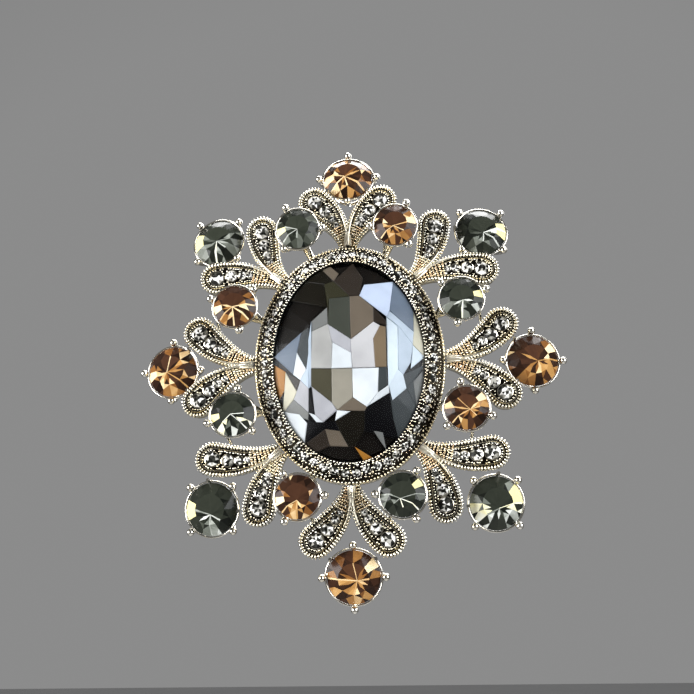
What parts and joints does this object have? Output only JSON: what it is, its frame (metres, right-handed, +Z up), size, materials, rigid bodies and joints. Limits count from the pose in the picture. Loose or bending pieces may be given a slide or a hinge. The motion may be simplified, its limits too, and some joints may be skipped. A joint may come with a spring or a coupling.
{
  "type": "brooch",
  "caption": "Oval cluster brooch: a large faceted oval in a pave halo with forked pave petals, round claw-set stones and a hinged pin with a turning safety catch.",
  "frame": {"origin": "centre of the back face of the pin bar's raised pad, where the brooch lies against the garment", "axes": "+Z up as worn and along the long side of the oval, +Y out of the back towards the wearer, -Y is the front, +X to the right of someone facing the front"},
  "size_m": [0.0638, 0.0201, 0.0712],
  "materials": {
    "plated_gold": "polished pale champagne gold plating over a cast alloy",
    "pin_steel": "polished steel wire with a pale plating",
    "smoky_stone": "foil-backed smoky crystal, polished facets",
    "grey_stone": "foil-backed dark grey crystal, polished facets",
    "champagne_stone": "foil-backed champagne to amber crystal, polished facets",
    "pave_stone": "small clear and pale grey pave crystals"
  },
  "bodies": {
    "brooch": {"bar_plate": "plated_gold", "catch_barrel": "pin_steel", "centre_cup": "plated_gold", "centre_stone": "smoky_stone", "halo_ring": "plated_gold", "hinge_bracket": "pin_steel", "hinge_rivet": "pin_steel", "petals_e": "plated_gold", "petals_n": "plated_gold", "petals_ne": "plated_gold", "petals_nw": "plated_gold", "petals_s": "plated_gold", "petals_se": "plated_gold", "petals_sw": "plated_gold", "petals_w": "plated_gold", "setting_e": "plated_gold", "setting_n": "plated_gold", "setting_ne": "plated_gold", "setting_ne_high": "plated_gold", "setting_ne_wide": "plated_gold", "setting_nw": "plated_gold", "setting_nw_high": "plated_gold", "setting_nw_wide": "plated_gold", "setting_s": "plated_gold", "setting_se": "plated_gold", "setting_se_high": "plated_gold", "setting_se_wide": "plated_gold", "setting_sw": "plated_gold", "setting_sw_high": "plated_gold", "setting_sw_wide": "plated_gold", "setting_w": "plated_gold", "stone_e": "champagne_stone", "stone_n": "champagne_stone", "stone_ne": "grey_stone", "stone_ne_high": "champagne_stone", "stone_ne_wide": "grey_stone", "stone_nw": "grey_stone", "stone_nw_high": "grey_stone", "stone_nw_wide": "champagne_stone", "stone_s": "champagne_stone", "stone_se": "grey_stone", "stone_se_high": "grey_stone", "stone_se_wide": "champagne_stone", "stone_sw": "grey_stone", "stone_sw_high": "champagne_stone", "stone_sw_wide": "grey_stone", "stone_w": "champagne_stone"},
    "pin": {"pin_needle": "pin_steel"},
    "catch": {"catch_sleeve": "pin_steel"}
  },
  "joints": [
    {"name": "pin_open", "type": "hinge", "parent": "brooch", "child": "pin", "pos_m": [-0.0106, 0.0052, 0], "axis": [0, 0, 1], "range_deg": [0, 100]},
    {"name": "catch_turn", "type": "hinge", "parent": "brooch", "child": "catch", "pos_m": [0.0089, 0.0052, 0], "axis": [1, 0, 0], "range_deg": [0, 100]}
  ]
}
